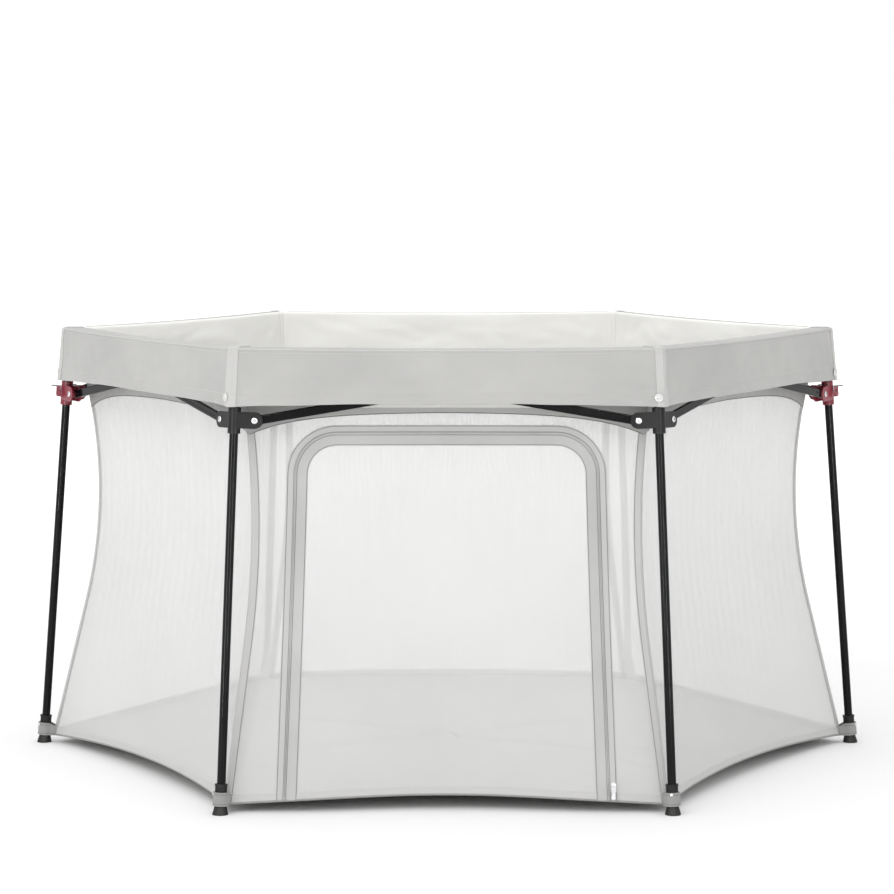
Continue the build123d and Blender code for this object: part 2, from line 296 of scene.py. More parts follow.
def clothMaterial(name, look):
    material, tree, shader = startMaterial(name, look["plain"])
    cut = put(tree, "UVMap", uv_map="cut").outputs["UV"]
    weave = useGroup(tree, "weave", {"Vector": cut, "Pitch": look["pitch"]})
    grain = useGroup(tree, "grain", {"Vector": cut, "Patch Scale": look["patchScale"], "Grain Scale": 500.0})
    thread = mixed(tree, weave["Thread"], look["shade"], look["colour"])
    # broad patches turn darker: random tone in the cloth and painted shade of its folds
    colour = mixed(tree, ranged(tree, grain["Patch"], 0, look["patch"]), thread, look["patchToneAndShade"])
    heights = [(weave["Height"], look["weaveBump"]), (grain["Patch"], look["patchBump"])]
    # past this length the cloth is painted lighter: painted light through the thin rim cloth, on its inner
    # layer
    if look["paintedLightFrom"]:
        height = put(tree, "SeparateXYZ", {0: cut}).outputs["Y"]
        inside = sums(tree, "GREATER_THAN", height, look["paintedLightFrom"])
        colour = mixed(tree, inside, colour, look["paintedLightColour"])
    for row in look.get("stitchRows", []):
        stitch = useGroup(tree, "stitch", {"Vector": cut, "Row": row})["Stitch"]
        colour = mixed(tree, stitch, colour, look["stitchColour"])
        heights.append((stitch, 0.0004))
    tree.links.new(colour, shader.inputs["Base Color"])
    tree.links.new(ranged(tree, grain["Grain"], *look["rough"]), shader.inputs["Roughness"])
    raised(tree, shader, heights)
    return material


def netMaterial(name, look):
    material, tree, shader = startMaterial(name, look["plain"])
    cut = put(tree, "UVMap", uv_map="cut").outputs["UV"]
    thread = useGroup(tree, "net", {"Vector": cut, "Pitch": look["pitch"], "Open": look["open"]})["Thread"]
    grain = useGroup(tree, "grain", {"Vector": cut, "Patch Scale": 5.0, "Grain Scale": 700.0})
    spot = put(tree, "SeparateXYZ", {0: cut})
    drift = sums(tree, "MULTIPLY_ADD", grain["Patch"], look["gatherDrift"], spot.outputs["X"])
    gather = waved(tree, drift, look["gatherPitch"])
    high = ranged(tree, spot.outputs["Y"], 0, 1, *look["gatherHeights"])
    colour = mixed(tree, grain["Patch"], look["shade"], look["colour"])
    tree.links.new(colour, shader.inputs["Base Color"])
    alpha = ranged(tree, thread, look["holeAlpha"], look["threadAlpha"], 0, 1)
    tree.links.new(alpha, shader.inputs["Alpha"])
    raised(tree, shader, [(sums(tree, "MULTIPLY", gather, high), look["gatherBump"]), (thread, 0.0001)])
    return material


paintLook = {
    "plain": {"Coat Weight": 0.16, "Coat Roughness": 0.03, "Specular IOR Level": 0.06},
    "colour": (0.003, 0.003, 0.0035),
    "dusty": (0.006, 0.006, 0.0065),
    "bare": (0.12, 0.12, 0.12),
    "patchScale": 9.0,
    "grainScale": 420.0,
    "wear": 0.35,
    "rough": (0.14, 0.22),
    "bump": 0.00004,
}
plasticLook = {
    "plain": {"Specular IOR Level": 0.18},
    "colour": (0.008, 0.008, 0.0085),
    "dusty": (0.015, 0.015, 0.0155),
    "bare": (0.08, 0.08, 0.08),
    "patchScale": 24.0,
    "grainScale": 1500.0,
    "wear": 0.7,
    "rough": (0.34, 0.50),
    "bump": 0.00007,
}
redLook = plasticLook | {
    "plain": {"Specular IOR Level": 0.4},
    "colour": (0.17, 0.012, 0.024),
    "dusty": (0.22, 0.022, 0.040),
    "bare": (0.50, 0.20, 0.22),
    "rough": (0.22, 0.36),
}
leverLook = redLook | {
    "tip": (0.10, 0.10, 0.105),
    "tipSide": "GREATER_THAN",
    "tipHeight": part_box("release_lever_left")[1].z - 0.0022,  # the flat fin on top
}
footLook = plasticLook | {
    "tip": (0.022, 0.021, 0.020),
    "tipSide": "LESS_THAN",
    "tipHeight": 0.0118,  # the rubber tip starts under the sleeve
    "rough": (0.42, 0.62),
}
zipLook = {
    "plain": {"Metallic": 1.0},
    "colour": (0.70, 0.70, 0.71),
    "dusty": (0.52, 0.52, 0.53),
    "bare": (0.90, 0.90, 0.90),
    "patchScale": 60.0,
    "grainScale": 1200.0,
    "wear": 0.8,
    "rough": (0.16, 0.34),
    "bump": 0.00003,
}
screwLook = zipLook | {"colour": (0.80, 0.80, 0.81), "rough": (0.12, 0.26)}
snapLook = zipLook | {
    "plain": {"Coat Weight": 0.6, "Coat Roughness": 0.05},
    "colour": (0.62, 0.62, 0.61),
    "dusty": (0.50, 0.50, 0.49),
}
bandLook = {
    "plain": {"Sheen Weight": 0.15, "Sheen Roughness": 0.5, "Specular IOR Level": 0.25},
    "pitch": 0.0011,
    "colour": (0.480, 0.477, 0.463),
    "shade": (0.415, 0.412, 0.400),
    # colour of the darker patches: random tone and painted fold shade
    "patchToneAndShade": (0.375, 0.373, 0.364),
    # lighter colour of the rim's inner layer: painted light through the cloth
    "paintedLightColour": (0.80, 0.795, 0.765),
    "paintedLightFrom": 0.112,  # along the cloth from its outer hem: past here the layer inside the rim is painted lighter, painted light shining through the thin cloth
    "patchScale": 6.0,
    "patch": 0.9,
    "weaveBump": 0.00010,
    "patchBump": 0.0045,
    "rough": (0.72, 0.86),
    "stitchRows": [0.0175, 0.0795],
    "stitchColour": (0.50, 0.495, 0.48),
}
stripLook = bandLook | {
    "colour": (0.52, 0.517, 0.504),
    "shade": (0.46, 0.457, 0.447),
    "patchToneAndShade": (0.46, 0.457, 0.446),
}
yokeLook = bandLook | {
    "colour": (0.44, 0.438, 0.426),
    "shade": (0.38, 0.378, 0.367),
    "patchToneAndShade": (0.40, 0.398, 0.387),
    # a near-black dashed line along the yoke's lower edge
    "stitchRows": [0.0009],
    "stitchColour": (0.05, 0.05, 0.049),
    "paintedLightFrom": None,
}
bindingLook = bandLook | {
    "paintedLightFrom": None,
    "colour": (0.560, 0.558, 0.548),
    "shade": (0.480, 0.478, 0.470),
    "patchToneAndShade": (0.50, 0.50, 0.49),
    "patchBump": 0.0006,
    "stitchRows": [0.0010, 0.0150],
    "stitchColour": (0.16, 0.16, 0.156),
}
webbingLook = bindingLook | {
    "pitch": 0.0024,
    "colour": (0.350, 0.349, 0.342),
    "shade": (0.240, 0.239, 0.234),
    "patchToneAndShade": (0.30, 0.299, 0.292),
    "weaveBump": 0.0003,
    "stitchRows": [0.003, 0.017],
}
tapeLook = bindingLook | {
    "pitch": 0.0016,
    "colour": (0.500, 0.498, 0.487),
    "shade": (0.410, 0.408, 0.398),
    "stitchRows": [0.0111, 0.0022, -0.0022],
}
tapeInLook = tapeLook | {
    "colour": (0.450, 0.448, 0.437),
    "shade": (0.370, 0.368, 0.359),
    "stitchRows": [-0.0172, -0.0022],
}
coilLook = tapeLook | {
    "colour": (0.380, 0.380, 0.374),
    "shade": (0.250, 0.250, 0.245),
    "rough": (0.32, 0.45),
    "stitchRows": [],
}
shadedFloorLook = bandLook | {
    "pitch": 0.0013,
    # the floor's grey, darkened below the rim cloth's: painted shade of the yard's inside
    "colour": (0.360, 0.358, 0.347),
    "shade": (0.315, 0.313, 0.304),
    "patchToneAndShade": (0.297, 0.295, 0.286),
    "paintedLightFrom": None,
    "patchScale": 4.0,
    "patchBump": 0.0045,
    "stitchRows": [],
}
netLook = {
    "plain": {"Roughness": 0.85, "Specular IOR Level": 0.2},
    "pitch": 0.0034,
    "open": 0.62,
    "colour": (0.84, 0.84, 0.835),
    "shade": (0.76, 0.76, 0.757),
    "holeAlpha": 0.20,
    "threadAlpha": 0.56,
    "gatherPitch": 0.0075,
    "gatherDrift": 0.05,
    "gatherHeights": (0.40, 0.59),
    "gatherBump": 0.0007,
}

materials = {
    "paint": hardMaterial("black_gloss_paint", paintLook),
    "plastic": hardMaterial("black_moulded_plastic", plasticLook),
    "red": hardMaterial("dark_red_plastic", redLook),
    "lever": hardMaterial("lever_red_and_grey", leverLook),
    "foot": hardMaterial("foot_plastic_and_rubber", footLook),
    "zip": hardMaterial("nickel", zipLook),
    "screw": hardMaterial("bright_steel", screwLook),
    "snap": hardMaterial("clear_snap", snapLook),
    "band": clothMaterial("rim_cloth", bandLook),
    "strip": clothMaterial("corner_strip_cloth", stripLook),
    "yoke": clothMaterial("yoke_cloth", yokeLook),
    "binding": clothMaterial("grey_binding", bindingLook),
    "webbing": clothMaterial("grey_webbing", webbingLook),
    "tape": clothMaterial("zipper_tape", tapeLook),
    "tapeIn": clothMaterial("zipper_tape_door", tapeInLook),
    "coil": clothMaterial("zipper_coil_nylon", coilLook),
    "floor": clothMaterial("floor_cloth_weave_painted_shade", shadedFloorLook),
    "net": netMaterial("white_net", netLook),
}
print("materials built:", len(materials))

nodeFinishes = {
    "leg_tube_": "paint",
    "bar_": "paint",
    "top_hub_": "plastic",
    "foot_": "foot",
    "slider_": "plastic",
    "release_lever_": "lever",
    "zipper_": "zip",
}
for name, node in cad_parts.items():
    for start, finish in nodeFinishes.items():
        if name.startswith(start):
            node.data.materials.clear()
            node.data.materials.append(materials[finish])
for name in ("slider_right", "slider_left"):
    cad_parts[name].data.materials.clear()
    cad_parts[name].data.materials.append(materials["red"])

# making pieces


def shapedGrid(columns, rows, place):
    # place(s, t) gives a point and its spot on the flat cut, in metres, for s and t from 0 to 1
    mesh = bmesh.new()
    cut = mesh.loops.layers.uv.new("cut")
    bmesh.ops.create_grid(mesh, x_segments=columns, y_segments=rows, size=0.5)
    for vert in mesh.verts:
        vert.co, spot = place(vert.co.x + 0.5, vert.co.y + 0.5)
        for corner in vert.link_loops:
            corner[cut].uv = spot
    return mesh


def turned(profile, steps):
    mesh = bmesh.new()
    mesh.loops.layers.uv.new("cut")
    line = [mesh.verts.new((radius, 0, height)) for radius, height in profile]
    edges = [mesh.edges.new(pair) for pair in zip(line, line[1:])]
    bmesh.ops.spin(
        mesh, geom=line + edges, cent=(0, 0, 0), axis=(0, 0, 1), angle=2 * pi, steps=steps, use_merge=True
    )
    bmesh.ops.remove_doubles(mesh, verts=mesh.verts[:], dist=1e-6)
    bmesh.ops.recalc_face_normals(mesh, faces=mesh.faces[:])
    return mesh


def settle(piece):
    # applies what modifiers the piece has
    bpy.context.view_layer.update()
    depsgraph = bpy.context.evaluated_depsgraph_get()
    done = bpy.data.meshes.new_from_object(piece.evaluated_get(depsgraph), depsgraph=depsgraph)
    piece.modifiers.clear()
    piece.data = done


def makePiece(name, meshes, material, thickness=0):
    joined = bmesh.new()
    joined.loops.layers.uv.new("cut")
    for mesh in meshes:
        part = bpy.data.meshes.new("part")
        mesh.to_mesh(part)
        mesh.free()
        joined.from_mesh(part)
        bpy.data.meshes.remove(part)
    bmesh.ops.remove_doubles(joined, verts=joined.verts[:], dist=1e-5)
    data = bpy.data.meshes.new(name)
    joined.to_mesh(data)
    joined.free()
    piece = bpy.data.objects.new(name, data)
    bpy.context.scene.collection.objects.link(piece)
    data.materials.append(materials[material])
    if thickness:
        solid = piece.modifiers.new("thickness", "SOLIDIFY")
        solid.thickness = thickness
        solid.offset = -1
        settle(piece)
    piece.data.polygons.foreach_set("use_smooth", [True] * len(piece.data.polygons))
    piece.data.set_sharp_from_angle(angle=radians(48))
    return piece


def gatherCloth(piece):
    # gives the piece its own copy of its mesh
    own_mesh(piece)


def foldSide(piece, i):
    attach(piece, "leg_" + cornerNames[i])
    gatherCloth(piece)


def placed(mesh, point, facing):
    turn = facing.to_track_quat("Z", "Y").to_matrix().to_4x4()
    bmesh.ops.transform(mesh, matrix=Matrix.Translation(point) @ turn, verts=mesh.verts[:])
    return mesh


# net walls

wallShape = {
    # mid-side reach and height of the lower edge, the end of the straight part and the top
    "foot": Vector((0.650 * flat, 0.0136)),
    "knee": Vector((0.594 * flat, 0.240)),
    "top": Vector((0.590 * flat, 0.598)),
    "bowLow": 0.024,  # how far the net's middle is pulled in, at the floor and under the rim
    "bowHigh": 0.003,
    "hemRise": 0.0105,
    "riseReach": 0.26,
    "ripple": 0.0008,
    "ripplePitch": 0.026,
    "thickness": 0.0005,
    "columns": 130,
    "rows": 46,
    "gatherAt": 0.620,
    "keep": 0.17,
}
rising = (wallShape["knee"] - wallShape["foot"]).normalized()
arcOut = Vector((rising.y, -rising.x))
arcChord = wallShape["top"] - wallShape["knee"]
arcRadius = arcChord.length_squared / (2 * arcChord.dot(arcOut))
arcCentre = wallShape["knee"] + arcOut * arcRadius

doorShape = {
    "top": 0.556,
    "halfTop": 0.222,
    "halfBottom": 0.240,
    "corner": 0.062,
    "gap": 0.0006,
    "bow": 0.020,
    "bowZone": 0.236,
}


def wallReach(height):
    if height < wallShape["knee"].y:
        share = (height - wallShape["foot"].y) / (wallShape["knee"].y - wallShape["foot"].y)
        return wallShape["foot"].lerp(wallShape["knee"], share).x
    return arcCentre.x - sqrt(arcRadius**2 - (height - arcCentre.y) ** 2)


def wallSkin(i, share, shift, height, lift=0.0):
    # a point on side i's net, a share of the half side plus a shift from its middle
    out, along = sideAxes(i)
    reach = wallReach(height)
    half = reach * tan(pi / 6)
    across = share * half + shift
    slack = max(0, 1 - (across / half) ** 2)
    low = 1 - min(1, max(0, (height - wallShape["foot"].y) / wallShape["riseReach"]))
    if i == yardSize["doorSide"]:
        inDoor = max(0, 1 - (across / doorShape["bowZone"]) ** 2)
        bow = doorShape["bow"] * inDoor**2 * (0.2 + 0.8 * low)
    else:
        bow = slack * (wallShape["bowHigh"] + (wallShape["bowLow"] - wallShape["bowHigh"]) * low)
    rise = wallShape["hemRise"] * slack * low**2
    drift = 2.2 * wave(across * 5, height * 2.5, i * 3.7)
    ripple = wallShape["ripple"] * sin(2 * pi * across / wallShape["ripplePitch"] + drift)
    ripple *= min(1, slack * 4) * min(1, max(0, height - 0.05) * 2.5)
    if i == yardSize["doorSide"]:
        ripple *= 0.35
    return out * (reach - bow + ripple + lift) + along * across + up * (height + rise)


def wallGrid(i, columns, rows, left, right, low, high):
    # left and right give the sheet's edges at a height, as (share, shift)
    def place(s, t):
        height = low + t * (high - low)
        start, end = left(height), right(height)
        share = start[0] + s * (end[0] - start[0])
        shift = start[1] + s * (end[1] - start[1])
        spot = (share * wallShape["foot"].x * tan(pi / 6) + shift, height)
        return wallSkin(i, share, shift, height), spot

    return shapedGrid(columns, rows, place)


def doorSlant(height):
    share = height / doorShape["top"]
    return doorShape["halfBottom"] + share * (doorShape["halfTop"] - doorShape["halfBottom"])


slantAngle = atan((doorShape["halfBottom"] - doorShape["halfTop"]) / doorShape["top"])
cornerHigh = doorShape["top"] - doorShape["corner"]
cornerAcross = doorSlant(cornerHigh) - doorShape["corner"] / cos(slantAngle)
footHigh = wallShape["foot"].y
rimLow = wallShape["top"].y


def doorHalf(height):
    # half the opening's width at a height: slanted sides, then the top corners' arcs
    if height <= cornerHigh + doorShape["corner"] * sin(slantAngle):
        return doorSlant(height)
    above = min(height - cornerHigh, doorShape["corner"])
    return cornerAcross + sqrt(max(0, doorShape["corner"] ** 2 - above**2))


def doorOutline(share, offset):
    # across and height a share of the way round: up the left side, over the top, down the right side
    sideLong = (cornerHigh + doorShape["corner"] * sin(slantAngle) - footHigh) / cos(slantAngle)
    arcLong = doorShape["corner"] * (pi / 2 - slantAngle)
    whole = 2 * (sideLong + arcLong + cornerAcross)
    distance = min(share, 1 - share) * whole
    hand = -1 if share < 0.5 else 1
    if distance < sideLong:
        height = footHigh + distance * cos(slantAngle)
        spot = (doorSlant(height) + offset * cos(slantAngle), height + offset * sin(slantAngle))
    elif distance < sideLong + arcLong:
        angle = slantAngle + (distance - sideLong) / doorShape["corner"]
        bend = doorShape["corner"] + offset
        spot = (cornerAcross + bend * cos(angle), cornerHigh + bend * sin(angle))
    else:
        spot = (cornerAcross - (distance - sideLong - arcLong), doorShape["top"] + offset)
    return hand * spot[0], spot[1], share * whole


def cornerRows(t):
    # rows of a door sheet: even up the straight part, by angle round the corner
    bend = cornerHigh + doorShape["corner"] * sin(slantAngle)
    if t < 0.7:
        return footHigh + (bend - footHigh) * t / 0.7
    angle = slantAngle + (pi / 2 - slantAngle) * (t - 0.7) / 0.3
    return cornerHigh + doorShape["corner"] * sin(angle)


def jambGrid(hand):
    # the net beside the door, on the left (-1) or the right (1), up to the top of the opening
    def place(s, t):
        height = cornerRows(t)
        inner = hand * doorHalf(height)
        outer = hand * wallReach(height) * tan(pi / 6)
        edges = (outer, inner) if hand < 0 else (inner, outer)
        across = edges[0] + s * (edges[1] - edges[0])
        return wallSkin(yardSize["doorSide"], 0, across, height), (across, height)

    return shapedGrid(22, 52, place)


def headerGrid(left, right, columns):
    return wallGrid(yardSize["doorSide"], columns, 5, left, right, doorShape["top"], rimLow)


def doorGrid():
    def place(s, t):
        height = cornerRows(t) - doorShape["gap"] * t
        across = (2 * s - 1) * (doorHalf(height + doorShape["gap"] * t) - doorShape["gap"])
        return wallSkin(yardSize["doorSide"], 0, across, height), (across, height)

    return shapedGrid(96, 52, place)


for i, side in enumerate(sideNames):
    if i == yardSize["doorSide"]:
        meshes = [
            jambGrid(-1),
            jambGrid(1),
            headerGrid(lambda h: (-1, 0), lambda h: (0, -cornerAcross), 22),
            headerGrid(lambda h: (0, -cornerAcross), lambda h: (0, cornerAcross), 60),
            headerGrid(lambda h: (0, cornerAcross), lambda h: (1, 0), 22),
        ]
    else:
        meshes = [
            wallGrid(
                i,
                wallShape["columns"],
                wallShape["rows"],
                lambda h: (-1, 0),
                lambda h: (1, 0),
                footHigh,
                rimLow,
            )
        ]
    piece = makePiece("net_wall_" + side, meshes, "net", wallShape["thickness"])
    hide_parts("wall_" + side)
    foldSide(piece, i)

doorNet = makePiece("door_net", [doorGrid()], "net", wallShape["thickness"])
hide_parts("door_panel")
print("net walls and door made")

# grey cloth along the net's edges

edgeShape = {
    "hemTall": 0.011,
    "hemDrop": 0.0010,
    "hemThick": 0.0022,
    "hemLift": 0.0008,
    "bindingHalf": 0.0080,
    "bindingLift": 0.0011,
    "bindingThick": 0.0013,
    "yokeDeep": 0.011,
    "gussetDeep": 0.033,
    "gussetLong": 0.075,
    "yokeLift": 0.0013,
    "yokeThick": 0.0009,
}


def hemGrid(i, columns, left, right):
    def place(s, t):
        height = footHigh - edgeShape["hemDrop"] + t * edgeShape["hemTall"]
        share = left[0] + s * (right[0] - left[0])
        shift = left[1] + s * (right[1] - left[1])
        spot = (share * 0.32 + shift, t * edgeShape["hemTall"])
        return wallSkin(i, share, shift, height, edgeShape["hemLift"]), spot

    return shapedGrid(columns, 4, place)


def yokeGrid(i):
    # a narrow strip under the rim that deepens to a gusset at each corner
    def place(s, t):
        share = 2 * s - 1
        fromCorner = (1 - abs(share)) * 0.295
        deep = edgeShape["yokeDeep"] + edgeShape["gussetDeep"] * exp(-fromCorner / edgeShape["gussetLong"])
        height = rimLow - (1 - t) * deep
        return wallSkin(i, share, 0, height, edgeShape["yokeLift"]), (share * 0.295, t * deep)

    return shapedGrid(72, 6, place)


def bindingGrid(i):
    # a strip round the corner from one net to the next, a metres past the corner
    def place(s, t):
        past = (2 * s - 1) * edgeShape["bindingHalf"]
        height = footHigh + t * (rimLow - 0.004 - footHigh)
        spot = (height, past + edgeShape["bindingHalf"])
        if past >= 0:
            return wallSkin(i, -1, past, height, edgeShape["bindingLift"]), spot
        return wallSkin((i - 1) % 6, 1, past, height, edgeShape["bindingLift"]), spot

    return shapedGrid(6, 44, place)


for i, side in enumerate(sideNames):
    if i == yardSize["doorSide"]:
        doorEdge = doorShape["halfBottom"]
        hems = [hemGrid(i, 8, (-1, 0), (0, -doorEdge)), hemGrid(i, 8, (0, doorEdge), (1, 0))]
    else:
        hems = [hemGrid(i, 48, (-1, 0), (1, 0))]
    hem = makePiece("net_hem_" + side, hems, "binding", edgeShape["hemThick"])
    yoke = makePiece("yoke_" + side, [yokeGrid(i)], "yoke", edgeShape["yokeThick"])
    for piece in (hem, yoke):
        foldSide(piece, i)
for i, corner in enumerate(cornerNames):
    binding = makePiece(
        "corner_binding_" + corner, [bindingGrid(i)], "binding", edgeShape["bindingThick"]
    )
    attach(binding, "leg_" + corner)
print("hems, yokes and bindings made")

# door: hem, tapes and zipper

zipShape = {
    "tapeOut": (0.0012, 0.0120),
    "tapeIn": (-0.0180, -0.0012),
    "tapeLift": 0.0012,
    "tapeThick": 0.0010,
    "coilOff": 0.0011,
    "coilRadius": (0.0007, 0.0010),
    "coilLift": 0.0016,
    "coilColumns": 1400,
    "stop": 0.004,  # share of the way round where the coil starts
}


def tapeGrid(edges):
    def place(s, t):
        offset = edges[0] + t * (edges[1] - edges[0])
        across, height, distance = doorOutline(s, offset)
        return wallSkin(yardSize["doorSide"], 0, across, height, zipShape["tapeLift"]), (distance, offset)

    return shapedGrid(240, 4, place)


def coilGrid(offset):
    # a thin tube whose rings stand proud by turns, as a zipper coil's do
    def place(s, t):
        ring = round(s * zipShape["coilColumns"]) % 2
        radius = zipShape["coilRadius"][ring]
        angle = 2 * pi * t
        share = zipShape["stop"] + s * (1 - 2 * zipShape["stop"])
        across, height, distance = doorOutline(share, offset - radius * cos(angle))
        lift = zipShape["coilLift"] + radius * sin(angle)
        return wallSkin(yardSize["doorSide"], 0, across, height, lift), (distance, offset)

    mesh = shapedGrid(zipShape["coilColumns"], 6, place)
    bmesh.ops.remove_doubles(mesh, verts=mesh.verts[:], dist=1e-6)
    bmesh.ops.holes_fill(mesh, edges=[edge for edge in mesh.edges if edge.is_boundary], sides=0)
    bmesh.ops.recalc_face_normals(mesh, faces=mesh.faces[:])
    return mesh


outerTape = makePiece(
    "zipper_tape_outer", [tapeGrid(zipShape["tapeOut"])], "tape", zipShape["tapeThick"]
)
outerCoil = makePiece("zipper_coil_outer", [coilGrid(zipShape["coilOff"])], "coil")
innerTape = makePiece(
    "zipper_tape_inner", [tapeGrid(zipShape["tapeIn"])], "tapeIn", zipShape["tapeThick"]
)
innerCoil = makePiece("zipper_coil_inner", [coilGrid(-zipShape["coilOff"])], "coil")
doorEdge = doorShape["halfBottom"] - doorShape["gap"]
doorHem = makePiece(
    "door_hem",
    [hemGrid(yardSize["doorSide"], 60, (0, -doorEdge), (0, doorEdge))],
    "binding",
    edgeShape["hemThick"],
)
for piece in (outerTape, outerCoil):
    foldSide(piece, yardSize["doorSide"])
for piece in (doorNet, innerTape, innerCoil, doorHem):
    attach(piece, "door")
    gatherCloth(piece)
print("door and zipper made")

# rim band

bandShape = {
    "bottom": 0.599,
    "rim": 0.686,
    "outBottom": 0.0135,  # from the legs' plane
    "outTop": 0.0122,
    "inside": 0.020,
    "insideLow": 0.0292,  # the inner layer leans in to lap over the net's top edge
    "innerBottom": 0.595,
    "fold": 0.005,  # radius where the cloth turns over the rim
    "thickness": 0.0013,
    "columns": 110,
    "rows": 50,
    "wrinkle": 0.0042,
    "sag": 0.0028,
    "hemStep": 0.0006,
    "hemHeight": 0.018,
    "gatherAt": 0.6335,
    "keep": 0.19,
    "stripHalf": 0.0100,
    "stripLift": 0.0010,
    "stripThick": 0.0009,
    "pipingRadius": 0.0013,
}


def bandSection(t):
    # up the outer face, over the rim and down the inner face:
    # distance outside the legs' plane, height, the face's direction there, and length of cloth from the hem
    shape = bandShape
    fold, rim, bottom = shape["fold"], shape["rim"], shape["bottom"]
    faceTall = rim - fold - bottom
    arcLong = fold * pi / 2
    topWide = shape["outTop"] + shape["inside"] - 2 * fold
    if t < 0.38:
        share = t / 0.38
        distance = shape["outBottom"] + share * (shape["outTop"] - shape["outBottom"])
        return distance, bottom + share * faceTall, (1, 0), share * faceTall
    if t < 0.46:
        angle = (t - 0.38) / 0.08 * pi / 2
        edge = shape["outTop"] - fold
        facing = (cos(angle), sin(angle))
        return edge + fold * facing[0], rim - fold + fold * facing[1], facing, faceTall + fold * angle
    if t < 0.54:
        share = (t - 0.46) / 0.08
        return shape["outTop"] - fold - share * topWide, rim, (0, 1), faceTall + arcLong + share * topWide
    start = faceTall + arcLong + topWide
    if t < 0.62:
        angle = (t - 0.54) / 0.08 * pi / 2
        edge = fold - shape["inside"]
        facing = (-sin(angle), cos(angle))
        return edge + fold * facing[0], rim - fold + fold * facing[1], facing, start + fold * angle
    share = (t - 0.62) / 0.38
    innerTall = rim - fold - shape["innerBottom"]
    distance = -shape["inside"] - share * (shape["insideLow"] - shape["inside"])
    return distance, rim - fold - share * innerTall, (-1, 0), start + arcLong + share * innerTall


def bandSkin(i, share, shift, t, lift=0.0):
    out, along = sideAxes(i)
    distance, height, facing, length = bandSection(t)
    base = (yardSize["footRadius"] - height * tan(yardSize["splay"])) * flat
    half = (base + distance / cos(tilt)) * tan(pi / 6)
    across = share * half + shift
    slack = max(0, 1 - (across / half) ** 2)
    nearEnd = exp(-(half - abs(across)) / 0.045)
    faceDown = min(1, max(0, (bandShape["rim"] - height) / 0.03))
    broad = wave(across * 8 + height * 5, height * 11, i * 5.1 + facing[0])
    fine = wave(across * 16 + height * 22, height * 34 - across * 9, i * 2.3 + facing[0])
    bulge = bandShape["wrinkle"] * (broad * 1.1 + abs(fine) * 0.7) * faceDown * min(1, slack * 6)
    bulge += 0.0013 * nearEnd * min(1, slack * 12) * sin(across * 190 + height * 60) * faceDown
    bulge = max(-0.0012 - 0.002 * slack, bulge)
    if length < bandShape["hemHeight"]:
        bulge += bandShape["hemStep"]
    sag = bandShape["sag"] * slack
    edgeDown = min(1, max(0, 1 - (height - bandShape["bottom"]) / 0.05))
    lifted = 0.0045 * slack * edgeDown + 0.0022 * wave(across * 9, i * 2.9, 0) * min(1, slack * 4) * edgeDown
    if facing[0] < 0:  # the inner layer is sewn to the net, so only its upper part is slack
        lifted = 0
        bulge *= 1 - edgeDown
    outward = base + (distance + facing[0] * (bulge + lift)) / cos(tilt)
    drop = sag * (1 - edgeDown)
    return out * outward + along * across + up * (height + facing[1] * lift + lifted - drop), length


def bandGrid(i):
    def place(s, t):
        share = 2 * s - 1
        point, length = bandSkin(i, share, 0, t)
        return point, (share * 0.313, length)

    return shapedGrid(bandShape["columns"], bandShape["rows"], place)


def stripGrid(i):
    def place(s, t):
        past = (2 * s - 1) * bandShape["stripHalf"]
        if past >= 0:
            point, length = bandSkin(i, -1, past, t, bandShape["stripLift"])
        else:
            point, length = bandSkin((i - 1) % 6, 1, past, t, bandShape["stripLift"])
        return point, (past, length)

    return shapedGrid(6, 50, place)


def pipingGrid(i):
    # a thin round edge along the outer side of the rim
    def place(s, t):
        angle = 2 * pi * t
        share = 2 * s - 1
        middle = bandSkin(i, share, 0, 0.405)[0]
        out = sideAxes(i)[0]
        radius = bandShape["pipingRadius"]
        return middle + out * (radius * cos(angle)) + up * (radius * sin(angle)), (share * 0.313, t * 0.008)

    mesh = shapedGrid(80, 8, place)
    bmesh.ops.remove_doubles(mesh, verts=mesh.verts[:], dist=1e-6)
    bmesh.ops.holes_fill(mesh, edges=[edge for edge in mesh.edges if edge.is_boundary], sides=0)
    bmesh.ops.recalc_face_normals(mesh, faces=mesh.faces[:])
    return mesh


snapShape = {
    "profile": [(0, 0), (0.0062, 0), (0.0064, 0.0008), (0.0056, 0.0016), (0.0044, 0.0017), (0.0038, 0.0013),
                (0.0026, 0.0021), (0, 0.0024)],
    "fromCorner": 0.0075,
    "height": 0.0135,  # above the band's lower edge
}

for i, side in enumerate(sideNames):
    band = makePiece("rim_band_" + side, [bandGrid(i)], "band", bandShape["thickness"])
    piping = makePiece("rim_piping_" + side, [pipingGrid(i)], "strip")
    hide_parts("band_" + side)
    for piece in (band, piping):
        foldSide(piece, i)
for i, corner in enumerate(cornerNames):
    strip = makePiece("band_corner_" + corner, [stripGrid(i)], "strip", bandShape["stripThick"])
    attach(strip, "leg_" + corner)
    before = (i - 1) % 6
    seat = 0.38 * snapShape["height"] / (bandShape["rim"] - bandShape["fold"] - bandShape["bottom"])
    point, length = bandSkin(before, 1, -snapShape["fromCorner"], seat, bandShape["stripLift"])
    button = placed(turned(snapShape["profile"], 24), point, sideAxes(before)[0])
    snap = makePiece("band_snap_" + corner, [button], "snap")
    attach(snap, "leg_" + corner)
print("rim band made")

# floor

floorShape = {
    "corner": 0.648,
    "top": 0.0128,
    "thickness": 0.0022,
    "middle": 0.003,
    "columns": 46,
    "rows": 34,
    "crease": 0.0030,
    "fold": 0.0062,
    "gatherAt": 0.648,
    "keep": 0.2,
}


